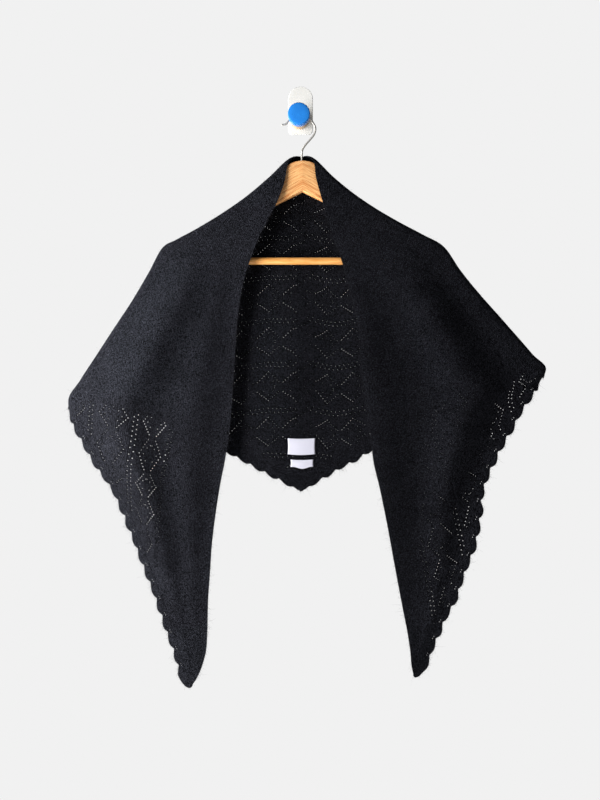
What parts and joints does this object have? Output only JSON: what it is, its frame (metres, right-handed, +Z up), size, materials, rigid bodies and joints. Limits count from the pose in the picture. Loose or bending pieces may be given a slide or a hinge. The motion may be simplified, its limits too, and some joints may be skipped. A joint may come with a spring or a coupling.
{
  "type": "shawl on a coat hanger and wall hook",
  "caption": "Triangular lace shawl with scalloped edging, hung open over a wooden coat hanger on a wall hook, its two ends hanging in front and its point behind.",
  "frame": {"origin": "middle of the wall plate's back face, which lies on the wall", "axes": "+Y into the wall, so the shawl is seen along +Y; +Z up; +X to the viewer's right"},
  "size_m": [0.7742, 0.0768, 0.9703],
  "materials": {
    "knit": "fuzzy black mohair knit",
    "label_tape": "satin woven tape",
    "hanger_wood": "clear satin varnish",
    "hook_steel": "bright wire",
    "plate": "off-white, satin",
    "peg_wood": "clear satin varnish",
    "knob_paint": "blue paint, satin"
  },
  "bodies": {
    "root": {"shawl_back": "knit", "shawl_front_left": "knit", "shawl_front_right": "knit", "edging_front_left": "knit", "edging_front_right": "knit", "edging_back_left": "knit", "edging_back_right": "knit", "label_top": "label_tape", "label_care": "label_tape", "hanger_arm_left": "hanger_wood", "hanger_arm_right": "hanger_wood", "hanger_bar": "hanger_wood", "hanger_hook": "hook_steel", "wall_plate": "plate", "wall_peg": "peg_wood", "wall_knob": "knob_paint"}
  },
  "joints": []
}
